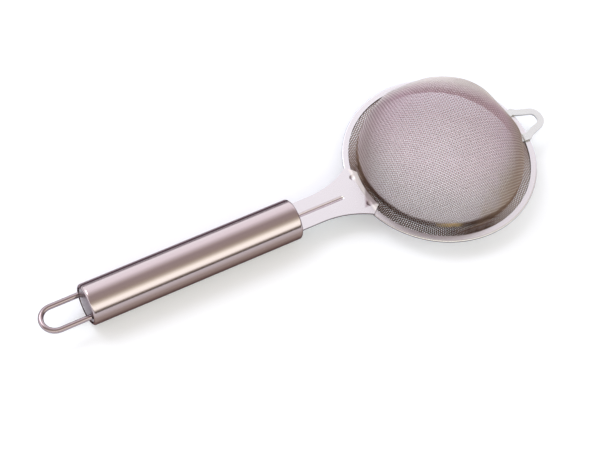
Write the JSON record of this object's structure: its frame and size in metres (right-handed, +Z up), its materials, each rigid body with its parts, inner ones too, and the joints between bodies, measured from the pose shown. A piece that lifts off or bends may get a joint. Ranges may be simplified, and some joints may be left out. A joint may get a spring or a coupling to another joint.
{
  "type": "fine mesh strainer",
  "caption": "Hand strainer: domed wire-mesh bowl in a round folded rim, fishtail neck, round tube handle with a wire hanging loop, and a rest hook opposite the handle.",
  "frame": {"origin": "centre of the bowl's mouth, halfway through the rim's thickness", "axes": "+Z up through the bowl, which stands dome up as in the picture; the handle runs along -X and the rest hook along +X"},
  "size_m": [0.2828, 0.1, 0.0502],
  "materials": {
    "satin_steel": "satin brushed stainless steel",
    "cup_steel": "drawn stainless sheet, satin",
    "polished_wire": "polished stainless wire",
    "bright_sheet": "bright rolled stainless sheet",
    "wire_cloth": "plain woven stainless wire cloth"
  },
  "bodies": {
    "root": {"handle_tube": "satin_steel", "front_plug": "cup_steel", "rear_end_cap": "cup_steel", "hanging_loop": "polished_wire", "neck_bracket": "bright_sheet", "rim_ring": "bright_sheet", "mesh_basket": "wire_cloth", "rest_hook": "bright_sheet"}
  },
  "joints": []
}
